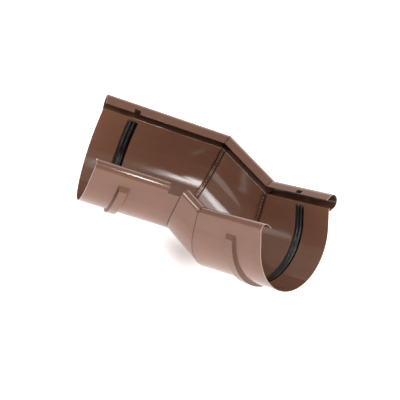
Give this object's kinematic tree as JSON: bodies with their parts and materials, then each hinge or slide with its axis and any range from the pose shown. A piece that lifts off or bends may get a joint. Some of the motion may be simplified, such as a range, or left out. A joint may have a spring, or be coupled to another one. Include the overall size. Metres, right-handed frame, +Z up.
{
  "type": "gutter outside miter",
  "caption": "Half-round gutter corner of brown coated steel with a rolled front bead, hooked back lip, crimped mitre seams and rubber end seals; it turns a roof corner and then climbs.",
  "frame": {"origin": "middle of the left open end, on the axis of the half round", "axes": "+X along the left section towards the corner, +Y towards the beaded front, +Z up as fitted"},
  "size_m": [0.2917, 0.2452, 0.1564],
  "materials": {
    "coated_steel": "semi-gloss brown coating",
    "seal_rubber": "satin black rubber"
  },
  "bodies": {
    "root": {"left_section": "coated_steel", "middle_section": "coated_steel", "right_section": "coated_steel", "left_seal": "seal_rubber", "right_seal": "seal_rubber"}
  },
  "joints": []
}
